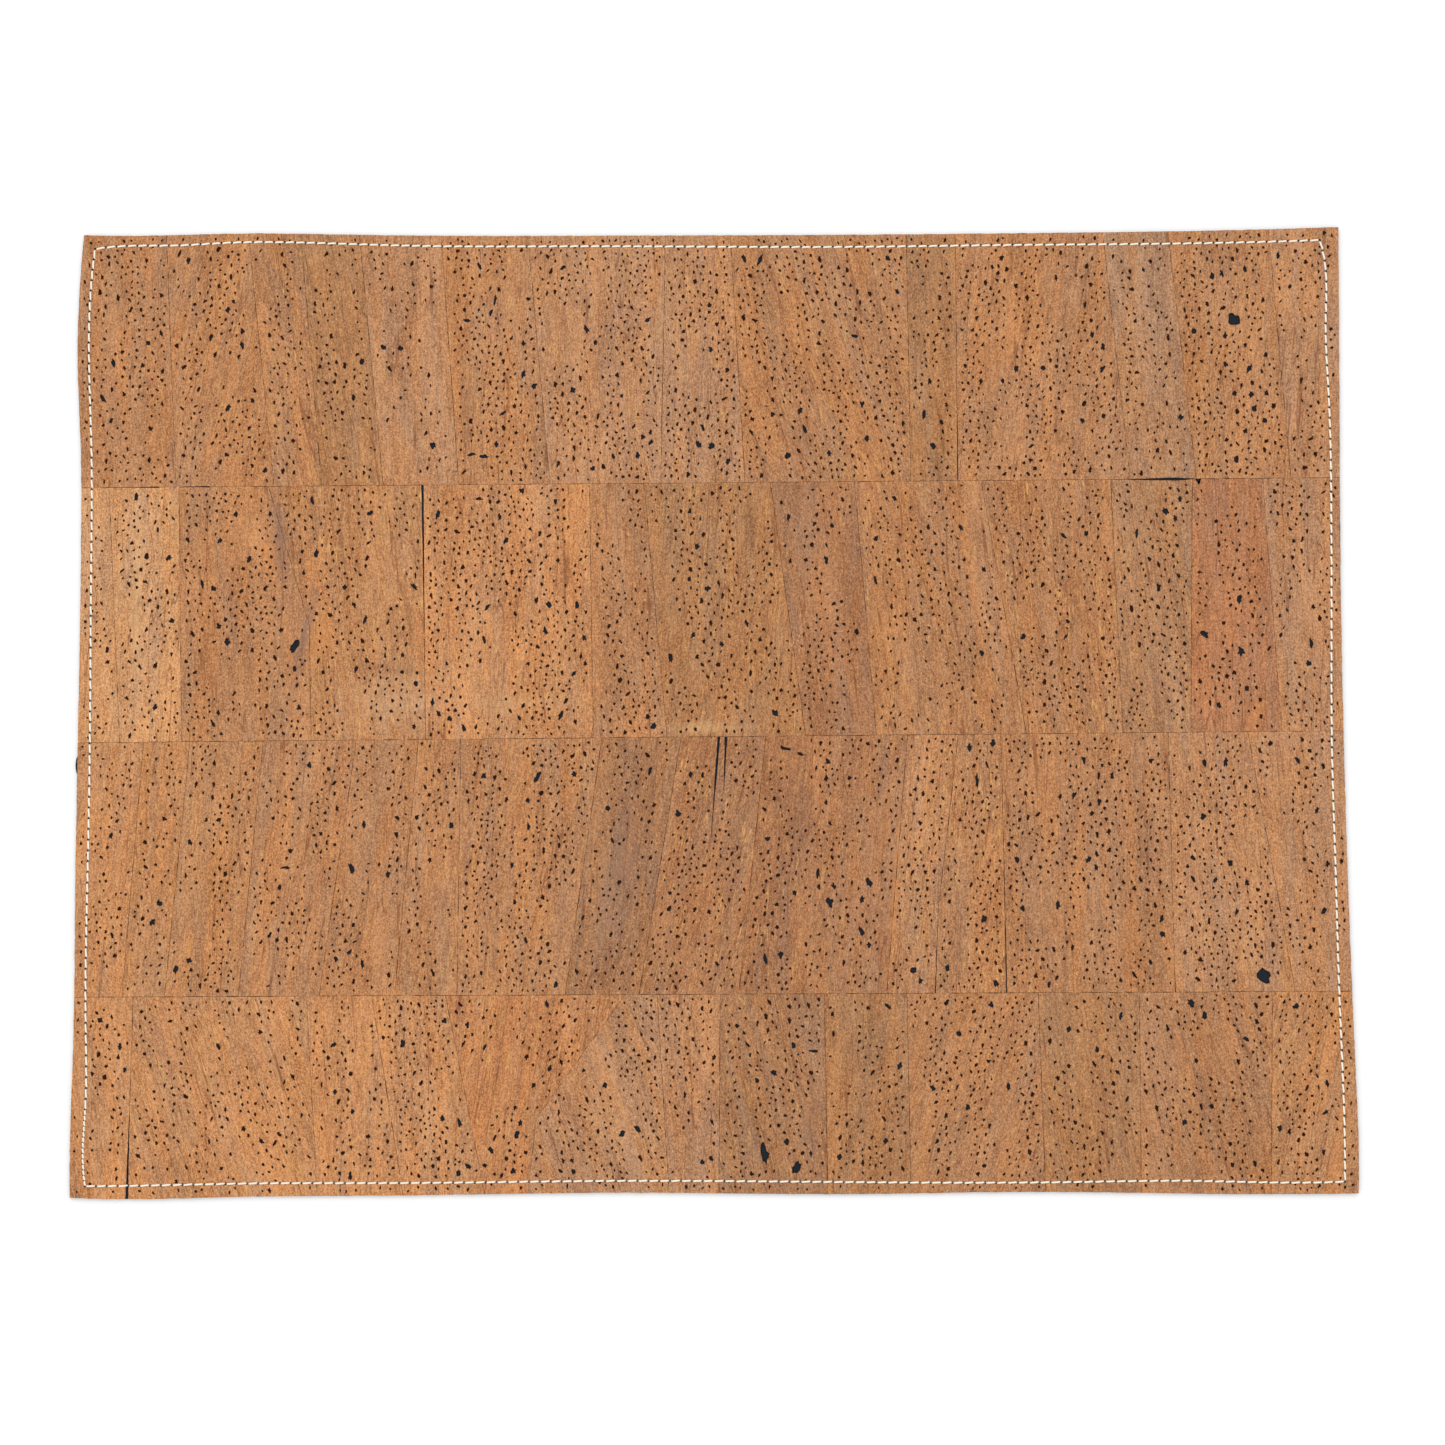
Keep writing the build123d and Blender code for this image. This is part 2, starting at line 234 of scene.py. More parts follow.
def face_loops(node, height):
    """The loops round the node's flat faces at this height, counter-clockwise, largest first."""
    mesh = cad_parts[node].data
    spots = [tuple(round(c / MM, 3) for c in vertex.co) for vertex in mesh.vertices]
    edges = set()
    for polygon in mesh.polygons:
        ring = [spots[i] for i in polygon.vertices]
        if any(abs(spot[2] - height) > 0.01 for spot in ring):
            continue
        for a, b in zip(ring, ring[1:] + ring[:1]):
            if (b[:2], a[:2]) in edges:
                edges.remove((b[:2], a[:2]))
            else:
                edges.add((a[:2], b[:2]))
    following = dict(edges)
    loops = []
    while following:
        loop = [next(iter(following))]
        while loop[-1] in following:
            loop.append(following.pop(loop[-1]))
        loop.pop()
        loops.append(loop if signed_area(loop) > 0 else loop[::-1])
    return sorted(loops, key=signed_area, reverse=True)


def resample(loop, step):
    """The loop with its long edges divided, so that none is much longer than the step."""
    points = []
    for a, b in zip(loop, loop[1:] + loop[:1]):
        parts = max(1, round(math.dist(a, b) / step))
        for i in range(parts):
            x = a[0] + (b[0] - a[0]) * i / parts
            y = a[1] + (b[1] - a[1]) * i / parts
            points.append((x, y))
    return points


def roughen(loop, least, most, grain, seed):
    """The loop with its points moved inwards by the least to the most, as a cut edge wavers."""
    moved = []
    for before, spot, after in zip(loop[-1:] + loop[:-1], loop, loop[1:] + loop[:1]):
        inward = Vector((before[1] - after[1], after[0] - before[0])).normalized()
        waver = 0.5 + noise.noise(Vector((spot[0] / grain, spot[1] / grain, seed)))
        shift = least + (most - least) * max(0.0, min(1.0, waver))
        moved.append((spot[0] + inward.x * shift, spot[1] + inward.y * shift))
    return moved


def centre_of(loop):
    """The middle of a small loop."""
    return (sum(p[0] for p in loop) / len(loop), sum(p[1] for p in loop) / len(loop))


def extent(loop):
    """The loop's least and most x, and its least and most y."""
    xs = [p[0] for p in loop]
    ys = [p[1] for p in loop]
    return min(xs), max(xs), min(ys), max(ys)


def round_loop(centre, radius, sides=14):
    """A smooth ring round the centre, counter-clockwise."""
    turns = [2 * math.pi * i / sides for i in range(sides)]
    return [(centre[0] + radius * math.cos(t), centre[1] + radius * math.sin(t)) for t in turns]


def contains(loop, x, y):
    """Whether the point lies inside the loop."""
    inside = False
    for (ax, ay), (bx, by) in zip(loop, loop[1:] + loop[:1]):
        if (ay > y) != (by > y) and x < ax + (y - ay) * (bx - ax) / (by - ay):
            inside = not inside
    return inside


def fill(loops, inner=()):
    """Triangles between the first loop and the others, as indices of the loops' and inner points."""
    spots = [Vector(p) for loop in loops for p in loop] + [Vector(p) for p in inner]
    rings = []
    for loop in loops:
        start = sum(len(ring) for ring in rings)
        rings.append(list(range(start, start + len(loop))))
    found = delaunay_2d_cdt(spots, [], rings, 0, 1e-5, True)
    triangles, originals, sources = found[2], found[3], found[5]
    return [
        [originals[i][0] for i in triangle]
        for triangle, source in zip(triangles, sources)
        if source == [0] and all(originals[i] for i in triangle)
    ]


def set_attribute(mesh, name, kind, key, values):
    """Gives each vertex of the mesh a value that the shaders read."""
    attribute = mesh.attributes.new(name, kind, "POINT")
    attribute.data.foreach_set(key, values)


class Shell:
    """A mesh while it is being made, in millimetres, with a halo value at each vertex."""

    def __init__(self):
        self.spots = []
        self.halos = []
        self.faces = []
        self.slots = []

    def ring(self, loop, z, halo=0.0):
        """Adds a loop's points at one height and returns their indices."""
        start = len(self.spots)
        self.spots += [(x, y, z) for x, y in loop]
        self.halos += [halo] * len(loop)
        return list(range(start, start + len(loop)))

    def face(self, indices, slot=0):
        """Adds a face with one of the materials."""
        self.faces.append(indices)
        self.slots.append(slot)

    def wall(self, upper, lower, slot=0):
        """Quads between two rings that run the same way, facing away from their inside."""
        for i in range(len(upper)):
            j = (i + 1) % len(upper)
            self.face([upper[i], lower[i], lower[j], upper[j]], slot)

    def make(self, name, materials):
        """Turns what was added into an object."""
        mesh = bpy.data.meshes.new(name)
        mesh.from_pydata([[c * MM for c in spot] for spot in self.spots], [], self.faces)
        mesh.polygons.foreach_set("material_index", self.slots)
        for material in materials:
            mesh.materials.append(material)
        set_attribute(mesh, "halo", "FLOAT", "value", self.halos)
        piece = bpy.data.objects.new(name, mesh)
        bpy.context.scene.collection.objects.link(piece)
        return piece


def shown(piece, node):
    """Puts a visual piece in the place of a CAD node."""
    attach(piece, "root")
    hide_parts(node)


# ---- materials ----------------------------------------------------------------------------------


class Shader:
    """A material's node tree while it is being made."""

    def __init__(self, name, roughness=0.6):
        self.material = bpy.data.materials.new(name)
        self.material.use_nodes = True
        self.tree = self.material.node_tree
        self.surface = self.tree.nodes["Principled BSDF"]
        self.surface.inputs["Roughness"].default_value = roughness

    def put(self, socket, value):
        """Links a socket to the input, or sets it to a constant."""
        if isinstance(value, bpy.types.NodeSocket):
            self.tree.links.new(value, socket)
        else:
            socket.default_value = value

    def node(self, kind, inputs, out=0, **settings):
        """Adds a node and returns one of its outputs."""
        made = self.tree.nodes.new(kind)
        for key, value in settings.items():
            setattr(made, key, value)
        for key, value in inputs.items():
            self.put(made.inputs[key], value)
        return made.outputs[out]

    def attribute(self, name, out="Fac"):
        """What each vertex carries under this name."""
        return self.node("ShaderNodeAttribute", {}, out, attribute_name=name)

    def place(self):
        """The place on the piece, in millimetres."""
        spot = self.node("ShaderNodeTexCoord", {}, "Object")
        return self.stretch(spot, (1000, 1000, 1000))

    def stretch(self, vector, factors):
        """The vector times a factor for each axis. A noise on it is finer where the factor is larger."""
        return self.node("ShaderNodeVectorMath", {0: vector, 1: factors}, operation="MULTIPLY")

    def noise(self, vector, detail=2.0, roughness=0.5, distortion=0.0):
        """A soft random value from 0 to 1 that is mostly near 0.5."""
        inputs = {
            "Vector": vector, "Scale": 1.0, "Detail": detail,
            "Roughness": roughness, "Distortion": distortion,
        }
        return self.node("ShaderNodeTexNoise", inputs)

    def cells(self, vector):
        """The distance to the nearest of many scattered points."""
        return self.node("ShaderNodeTexVoronoi", {"Vector": vector, "Scale": 1.0}, "Distance")

    def ramp(self, value, low, high, start=0.0, end=1.0):
        """The value taken from the range low to high to the range start to end, and held there."""
        inputs = {"Value": value, "From Min": low, "From Max": high, "To Min": start, "To Max": end}
        return self.node("ShaderNodeMapRange", inputs)

    def math(self, operation, a, b=0.0):
        """The two values put together by the operation."""
        return self.node("ShaderNodeMath", {0: a, 1: b}, operation=operation)

    def line(self, value, middle, inner, outer):
        """1 where the value is within the inner distance of the middle, and 0 beyond the outer."""
        distance = self.math("ABSOLUTE", self.math("SUBTRACT", value, middle))
        return self.ramp(distance, inner, outer, 1.0, 0.0)

    def blend(self, factor, a, b, kind="MIX"):
        """Colour a blended towards colour b by the factor."""
        colours = {0: factor, 6: a, 7: b}
        for key in (6, 7):
            if not isinstance(colours[key], bpy.types.NodeSocket):
                colours[key] = (*colours[key][:3], 1.0)
        return self.node("ShaderNodeMix", colours, 2, data_type="RGBA", blend_type=kind)

    def finish(self, colour, height=None, distance=0.0001, strength=0.5):
        """Connects the colour and the bump, and returns the material."""
        self.put(self.surface.inputs["Base Color"], colour)
        if height is not None:
            inputs = {"Height": height, "Distance": distance, "Strength": strength}
            self.put(self.surface.inputs["Normal"], self.node("ShaderNodeBump", inputs, "Normal"))
        return self.material


FLAME = linear(230, 172, 106)
RED_LINE = linear(128, 68, 42)
VEIN = linear(118, 66, 40)
SMUDGE = linear(122, 84, 62)
SPECK = linear(72, 38, 20)
# Pale yellow: flecks in the cork, and painted highlights in place of the lit sides of pores.
FLECK_AND_HIGHLIGHT = linear(232, 176, 112)
PORE_RIM = linear(64, 33, 16)


def add_soft_patch(shader, place, colour, soft_patch):
    """The colour with one soft patch laid over it."""
    moved = shader.node(
        "ShaderNodeMapping",
        {
            "Vector": place,
            "Location": (soft_patch.x, soft_patch.y, 0),
            "Rotation": (0, 0, -math.radians(soft_patch.turn)),
            "Scale": (soft_patch.width, soft_patch.length, 1000),
        },
        vector_type="TEXTURE",
    )
    ragged = shader.noise(shader.stretch(place, (0.45, 0.2, 0.2)), 5.0, 0.75)
    reach = shader.node("ShaderNodeVectorMath", {0: moved}, "Value", operation="LENGTH")
    reach = shader.math("ADD", reach, shader.math("MULTIPLY", ragged, 3.4))
    return shader.blend(shader.ramp(reach, 1.7, 2.8, soft_patch.strength, 0.0), colour, soft_patch.colour)


def add_drift(shader, grain, colour):
    """Bands of a warmer and of a cooler brown, side by side along the grain."""
    bands = shader.noise(shader.stretch(grain, (0.16, 0.022, 1.7)), 2.0, 0.5, 0.8)
    warm = shader.blend(1.0, colour, (1.05, 0.97, 0.84), "MULTIPLY")
    cool = shader.blend(1.0, colour, (0.90, 0.95, 1.04), "MULTIPLY")
    return shader.blend(shader.ramp(bands, 0.36, 0.64), warm, cool)


def find_crests(shader, waves, fibres, flamed):
    """How much of a yellow flame lies at each place."""
    crests = shader.line(waves, 0.55, 0.005, 0.03)
    crests = shader.math("MULTIPLY", crests, shader.ramp(fibres, 0.36, 0.52))
    return shader.math("MULTIPLY", crests, flamed)


def add_veins(shader, grain, colour):
    """Hair-thin brown lines that wander along the grain of every plank."""
    wander = shader.noise(shader.stretch(grain, (0.2, 0.011, 1)), 2.0, 0.5, 0.5)
    kept = shader.ramp(shader.noise(shader.stretch(grain, (0.5, 0.05, 1)), 2.0), 0.40, 0.50)
    veins = shader.math("MULTIPLY", shader.line(wander, 0.5, 0.002, 0.01), kept)
    return shader.blend(shader.math("MULTIPLY", veins, 0.6), colour, VEIN)


def add_marks(shader, place, grain, streaks, colour):
    """Brown smudges, dark specks, and pale flecks that are partly painted highlights."""
    smudges = shader.noise(shader.stretch(grain, (0.35, 0.22, 1)), 4.0, 0.7)
    colour = shader.blend(shader.ramp(smudges, 0.60, 0.76, 0.0, 0.35), colour, SMUDGE)
    crowds = shader.noise(shader.stretch(place, (0.55, 0.45, 1)), 1.0)
    specks = shader.ramp(shader.cells(shader.stretch(place, (0.95, 0.75, 1))), 0.17, 0.08)
    specks = shader.math("MULTIPLY", specks, shader.ramp(crowds, 0.45, 0.51))
    colour = shader.blend(shader.math("MULTIPLY", specks, 0.85), colour, SPECK)
    # Pale flecks along the brighter streaks: partly flecks in the cork, partly painted highlights for
    # the lit sides of pores.
    flecks_and_highlights = shader.ramp(shader.cells(shader.stretch(grain, (0.8, 0.4, 1))), 0.24, 0.10)
    flecks_and_highlights = shader.math("MULTIPLY", flecks_and_highlights, shader.ramp(streaks, 0.42, 0.56))
    return shader.blend(shader.math("MULTIPLY", flecks_and_highlights, 0.55), colour, FLECK_AND_HIGHLIGHT)


def make_cork():
    """Cork veneer: streaks and flames along each plank's grain, marks with some painted highlights,
    stains with a painted shadow along a crack, and pore rims.
    """
    shader = Shader("cork_veneer")
    place = shader.place()
    grain = shader.attribute("grain", "Vector")
    tone = shader.attribute("tone", "Color")

    bands = shader.noise(shader.stretch(grain, (0.09, 0.018, 1)), 2.0, 0.5, 0.6)
    streaks = shader.noise(shader.stretch(grain, (0.5, 0.07, 1)), 4.0, 0.65, 0.8)
    fibres = shader.noise(shader.stretch(grain, (2.8, 0.4, 1)), 3.0, 0.7)
    granules = shader.noise(shader.stretch(place, (1.9, 1.5, 1)), 4.0, 0.75)
    lightness = 0.5
    for layer, share in ((bands, 0.6), (streaks, 0.9), (fibres, 1.3), (granules, 3.0)):
        centred = shader.math("SUBTRACT", layer, 0.5)
        lightness = shader.math("ADD", lightness, shader.math("MULTIPLY", centred, share))
    dark = shader.blend(1.0, tone, (0.50, 0.43, 0.38), "MULTIPLY")
    light = shader.blend(1.0, tone, (1.42, 1.52, 1.60), "MULTIPLY")
    colour = shader.blend(shader.ramp(lightness, 0.0, 1.0), dark, light)
    colour = add_drift(shader, grain, colour)

    # Flames: yellow crests along the grain, with a thin red line beside some of them.
    waves = shader.noise(shader.stretch(grain, (0.4, 0.03, 1)), 3.0, 0.6, 1.8)
    flamed = shader.ramp(shader.noise(shader.stretch(grain, (0.3, 0.12, 1)), 2.0), 0.42, 0.58)
    flamed = shader.math("MULTIPLY", flamed, shader.attribute("figure"))
    crests = find_crests(shader, waves, fibres, flamed)
    colour = shader.blend(shader.math("MULTIPLY", crests, 0.9), colour, FLAME)
    red_lines = shader.math("MULTIPLY", shader.line(waves, 0.48, 0.003, 0.016), flamed)
    colour = shader.blend(shader.math("MULTIPLY", red_lines, 0.6), colour, RED_LINE)

    colour = add_veins(shader, grain, colour)
    # Soft patches of colour: stains, and a painted shadow along a crack.
    for soft_patch in STAINS_AND_SHADOWS:
        colour = add_soft_patch(shader, place, colour, soft_patch)
    colour = add_marks(shader, place, grain, streaks, colour)
    colour = shader.blend(shader.attribute("halo"), colour, PORE_RIM)

    shader.surface.inputs["Specular IOR Level"].default_value = 0.15
    shader.put(shader.surface.inputs["Roughness"], shader.ramp(streaks, 0.3, 0.7, 0.58, 0.74))
    height = shader.math("ADD", shader.math("MULTIPLY", fibres, 0.6), granules)
    height = shader.math("ADD", height, shader.math("MULTIPLY", crests, 0.5))
    return shader.finish(colour, height, 0.00018, 0.8)


def make_pore_wall():
    """The burnt-looking inside of a pore."""
    shader = Shader("cork_pore", 0.8)
    shader.surface.inputs["Specular IOR Level"].default_value = 0.1
    spots = shader.noise(shader.stretch(shader.place(), (2.5, 2.5, 2.5)), 3.0)
    colour = shader.blend(spots, linear(20, 11, 6), linear(58, 30, 13))
    return shader.finish(colour, spots, 0.0001)


def make_navy_cloth():
    """Dark blue cloth with a fine weave."""
    shader = Shader("navy_cloth", 0.85)
    place = shader.place()
    waves = shader.stretch(place, (14.0, 14.0, 0))
    weave = shader.node("ShaderNodeTexChecker", {"Vector": waves, "Scale": 1.0}, "Fac")
    fuzz = shader.noise(shader.stretch(place, (5, 5, 5)), 4.0, 0.6)
    height = shader.math("ADD", shader.math("MULTIPLY", weave, 0.4), fuzz)
    worn = shader.blend(fuzz, linear(18, 26, 34), linear(40, 50, 60))
    shader.surface.inputs["Specular IOR Level"].default_value = 0.12
    shader.surface.inputs["Sheen Weight"].default_value = 0.03
    colour = shader.blend(shader.math("MULTIPLY", weave, 0.2), worn, linear(18, 26, 34))
    return shader.finish(colour, height, 0.0001)


def make_lining_cloth():
    """Soft dark cloth with a short nap."""
    shader = Shader("lining_cloth", 0.9)
    place = shader.place()
    nap = shader.noise(shader.stretch(place, (3.5, 3.5, 3.5)), 5.0, 0.7)
    drift = shader.noise(shader.stretch(place, (0.03, 0.03, 0.03)), 2.0)
    colour = shader.blend(nap, linear(28, 34, 44), linear(52, 60, 72))
    colour = shader.blend(shader.math("MULTIPLY", drift, 0.3), colour, linear(44, 50, 60))
    shader.surface.inputs["Sheen Weight"].default_value = 0.3
    return shader.finish(colour, nap, 0.00015)


def make_thread_material():
    """Cream polyester thread."""
    shader = Shader("cream_thread", 0.55)
    place = shader.place()
    fibres = shader.noise(shader.stretch(place, (9, 9, 9)), 3.0, 0.6)
    drift = shader.noise(shader.stretch(place, (0.2, 0.2, 0.2)), 2.0)
    colour = shader.blend(fibres, linear(236, 222, 198), linear(255, 250, 238))
    colour = shader.blend(shader.math("MULTIPLY", drift, 0.2), colour, linear(232, 208, 170))
    shader.surface.inputs["Sheen Weight"].default_value = 0.15
    return shader.finish(colour, fibres, 0.00006)


# ---- cork planks --------------------------------------------------------------------------------


# A pore's ragged outline reaches up to this share of its ellipse, and its rim a little further.
RAGGED_MOST = 1.2
RIM_SCALE = 1.06
RIM_WIDTH = 0.18

# The round patch that a pore takes up holds its whole rim.
PATCH_SCALE = 1.28
PATCH_MARGIN = 0.2

# A pore of a larger area than these, in square millimetres, is drawn finely, or goes right through.
FINE_AREA = 0.8
OPEN_AREA = 2.6


def pore_outline(pore, dice, sides, scale=1.0, grow=0.0):
    """A pore's ragged outline, counter-clockwise. The same dice give the same shape at any scale."""
    lean = math.radians(pore.turn)
    across = Vector((math.cos(lean), math.sin(lean)))
    along = Vector((-math.sin(lean), math.cos(lean)))
    points = []
    for i in range(sides):
        angle = 2 * math.pi * i / sides
        reach = dice[i] * scale
        offset = across * (math.cos(angle) * (pore.width / 2 * reach + grow))
        offset += along * (math.sin(angle) * (pore.length / 2 * reach + grow))
        points.append((pore.x + offset.x, pore.y + offset.y))
    return points


def random_pore(x, y, lean, rng):
    """A pore of a common size: most are specks, and a few are large."""
    area = min(0.4 * math.exp(abs(rng.gauss(0, 0.95))), 4.2)
    stretch = rng.uniform(1.0, 2.5)
    width = 2 * math.sqrt(area / math.pi / stretch)
    return Pore(x, y, width * stretch, width, math.degrees(lean) + rng.gauss(0, 24))


class Ground:
    """The free surface of a plank, where pores may be sunk."""

    CELL = 4.0
    EDGE_MARGIN = 0.5
    HOLE_MARGIN = 0.65

    def __init__(self, border, holes):
        self.border = border
        self.cells = {}
        for spot in border:
            self.take(spot, self.EDGE_MARGIN)
        for hole in holes:
            self.take(centre_of(hole), self.HOLE_MARGIN)

    def cell(self, x, y):
        """The column and row of the square that the point is in."""
        return (math.floor(x / self.CELL), math.floor(y / self.CELL))

    def take(self, spot, reach):
        """Marks a round patch as taken."""
        self.cells.setdefault(self.cell(*spot), []).append((*spot, reach))

    def is_free(self, x, y, reach):
        """Whether a round patch is inside the border and clear of all that is taken."""
        column, row = self.cell(x, y)
        for i in (column - 1, column, column + 1):
            for j in (row - 1, row, row + 1):
                for other_x, other_y, other_reach in self.cells.get((i, j), ()):
                    if math.dist((x, y), (other_x, other_y)) < reach + other_reach:
                        return False
        return contains(self.border, x, y)


def choose_pores(name, ground, lean, rng):
    """The plank's known large pores, and common ones scattered between them."""
    per_cm2 = PORES_PER_CM2[listed(ROW_PORES, name)]
    pores = []

    def sink(pore):
        """Takes the pore if there is room for it."""
        reach = pore.length / 2 * PATCH_SCALE + PATCH_MARGIN
        if ground.is_free(pore.x, pore.y, reach):
            ground.take((pore.x, pore.y), reach)
            pores.append(pore)

    for pore in LARGE_PORES:
        sink(pore)
    left, right, near, far = extent(ground.border)
    wanted = len(pores) + round(signed_area(ground.border) / 100 * per_cm2)
    for _ in range(wanted * 8):
        x, y = rng.uniform(left, right), rng.uniform(near, far)
        crowd = noise.noise(Vector((x / 7, y / 22, plank_number(name) * 3.1)))
        if rng.random() < 0.45 + 1.5 * crowd:
            sink(random_pore(x, y, lean, rng))
        if len(pores) >= wanted:
            break
    return pores


def add_pore(shell, pore, rng):
    """Sinks a pore and returns its outlines in the top face and, if it goes through, the bottom."""
    area = math.pi / 4 * pore.length * pore.width
    sides, least = (7, 0.66) if area < FINE_AREA else (13, 0.5)
    dice = [rng.uniform(least, RAGGED_MOST) for _ in range(sides)]
    rim = pore_outline(pore, dice, sides, RIM_SCALE, RIM_WIDTH)
    mouth = pore_outline(pore, dice, sides)
    foot = pore_outline(pore, dice, sides, 0.86)
    opens_below = area > OPEN_AREA
    depth = min(0.4, 0.2 + 0.12 * pore.width)
    base = CORK_BASE if opens_below else CORK_TOP - depth
    strength = rng.uniform(0.6, 1.0)
    outer = shell.ring(rim, CORK_TOP)
    edge = shell.ring(mouth, CORK_TOP - 0.02, strength)
    bottom = shell.ring(foot, base, 1.0)
    shell.wall(edge, outer)
    shell.wall(bottom, edge, 1)
    if opens_below:
        return rim, foot, outer, bottom
    shell.face(bottom, 1)
    return rim, None, outer, None


def grid_points(border, step, rng):
    """Scattered points over the border's extent, about a step apart."""
    left, right, near, far = extent(border)
    points = []
    for i in range(int((right - left) / step) + 1):
        for j in range(int((far - near) / step) + 1):
            x = left + (i + rng.uniform(0.2, 0.8)) * step
            y = near + (j + rng.uniform(0.2, 0.8)) * step
            points.append((x, y))
    return points


MOST_LEAN = 0.3


def grain_lean(outline):
    """How far the plank's grain leans from the Y axis, from the middles of its two ends."""
    spots = sorted(outline, key=lambda p: p[1])
    share = max(2, len(spots) // 4)
    near = centre_of(spots[:share])
    far = centre_of(spots[-share:])
    lean = math.atan2(near[0] - far[0], far[1] - near[1])
    return max(-MOST_LEAN, min(MOST_LEAN, lean))


def colour_plank(piece, name, spots, lean, shift):
    """Gives the plank its tone and figure, and its place along and across its own grain."""
    count = len(spots)
    tone = TONES[listed(ROW_TONES, name)]
    set_attribute(piece.data, "tone", "FLOAT_COLOR", "color", [*tone, 1.0] * count)
    figure = FIGURES[listed(ROW_FIGURES, name)]
    set_attribute(piece.data, "figure", "FLOAT", "value", [figure] * count)
    grain = []
    for x, y, _ in spots:
        across = x * math.cos(lean) + y * math.sin(lean) + shift
        along = y * math.cos(lean) - x * math.sin(lean)
        grain += [across, along, shift]
    set_attribute(piece.data, "grain", "FLOAT_VECTOR", "vector", grain)


def make_plank(name, cork, pore_wall):
    """One cork plank with wavering edges, its needle holes and its pores."""
    loops = face_loops(name, CORK_TOP)
    lean = grain_lean(loops[0])
    rng = random.Random(name)
    border = roughen(resample(loops[0], 1.2), -0.035, 0.11, 3.0, rng.uniform(0, 99))
    holes = [round_loop(centre_of(hole), NEEDLE_HOLE_RADIUS) for hole in loops[1:]]

    shell = Shell()
    upper_loops = [border, *holes]
    lower_loops = [border, *holes]
    upper_rings = [shell.ring(loop, CORK_TOP) for loop in upper_loops]
    lower_rings = [shell.ring(loop, CORK_BASE, 0.3) for loop in lower_loops]
    shell.wall(upper_rings[0], lower_rings[0])
    for upper, lower in zip(upper_rings[1:], lower_rings[1:]):
        shell.wall(lower, upper, 1)

    ground = Ground(border, holes)
    for pore in choose_pores(name, ground, lean, rng):
        rim, foot, outer, bottom = add_pore(shell, pore, rng)
        upper_loops.append(rim)
        upper_rings.append(outer)
        if foot:
            lower_loops.append(foot)
            lower_rings.append(bottom)

    # Points between the pores let the face sag a little.
    inner = [spot for spot in grid_points(border, 3.0, rng) if ground.is_free(*spot, 0.4)]
    inner_ring = shell.ring(inner, CORK_TOP)
    for index, (x, y) in zip(inner_ring, inner):
        sag = 0.03 * (0.5 + 0.5 * noise.noise(Vector((x / 9, y / 9, 0))))
        shell.spots[index] = (x, y, CORK_TOP - sag)

    top_indices = [i for ring in upper_rings for i in ring] + inner_ring
    for triangle in fill(upper_loops, inner):
        shell.face([top_indices[i] for i in triangle])
    bottom_indices = [i for ring in lower_rings for i in ring]
    for triangle in fill(lower_loops):
        shell.face([bottom_indices[i] for i in triangle[::-1]])

    piece = shell.make(name.replace("cork_plank", "cork_veneer"), [cork, pore_wall])
    colour_plank(piece, name, shell.spots, lean, rng.uniform(-400, 400))
    shown(piece, name)
    return piece


# ---- cloth and lining ---------------------------------------------------------------------------


SOFT_EDGE = 0.08


def make_sheet(node, name, material, waver):
    """A flat sheet with the outline and needle holes of its CAD node, and soft edges."""
    low, high = (corner.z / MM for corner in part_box(node))
    loops = face_loops(node, high)
    border = resample(loops[0], 1.5)
    rng = random.Random(name)
    seed = rng.uniform(0, 99)
    outer = roughen(border, 0, waver, 2.0, seed)
    inset = roughen(outer, 0.03, SOFT_EDGE, 1.0, seed)
    holes = [round_loop(centre_of(hole), NEEDLE_HOLE_RADIUS, 10) for hole in loops[1:]]

    shell = Shell()
    rings = [
        shell.ring(inset, high),
        shell.ring(outer, high - SOFT_EDGE),
        shell.ring(outer, low + SOFT_EDGE),
        shell.ring(inset, low),
    ]
    for upper, lower in zip(rings, rings[1:]):
        shell.wall(upper, lower)
    tops = [shell.ring(hole, high) for hole in holes]
    bottoms = [shell.ring(hole, low) for hole in holes]
    for upper, lower in zip(tops, bottoms):
        shell.wall(lower, upper)
    top_indices = [i for ring in [rings[0], *tops] for i in ring]
    bottom_indices = [i for ring in [rings[-1], *bottoms] for i in ring]
    for triangle in fill([inset, *holes]):
        shell.face([top_indices[i] for i in triangle])
        shell.face([bottom_indices[i] for i in triangle[::-1]])
    piece = shell.make(name, [material])
    shown(piece, node)
    return piece


# ---- threads ------------------------------------------------------------------------------------


BEYOND_FAR_LEFT = (-240, 190)
LONGEST_STITCH = 6

NEEDLE_HEIGHT = CORK_TOP + 0.2
NEEDLE_DIP = 0.8
BOBBIN_HEIGHT = 0.3
BOBBIN_DIP = -0.3

THREAD_RADIUS = 0.3
STITCH_STEPS = 16
STITCH_BOW = 0.04
STITCH_SLANT = 0.12
PLIES = 3
PLY_DEPTH = 0.16
TWIST_PER_STEP = 0.42


def seam_holes():
    """The needle holes' centres in order, round the mat from its far left corner."""
    centres = [centre_of(loop) for loop in face_loops(CLOTH, CORK_BASE)[1:]]
    first = min(centres, key=lambda c: math.dist(c, BEYOND_FAR_LEFT))
    order = [first]
    rest = [c for c in centres if c != first]
    while rest:
        last = order[-1]
        near = sorted(rest, key=lambda c: math.dist(c, last))[:3]
        if len(order) == 1:
            near = [c for c in near if c[0] > last[0] + 1]
        order.append(near[0])
        rest.remove(near[0])
    return order


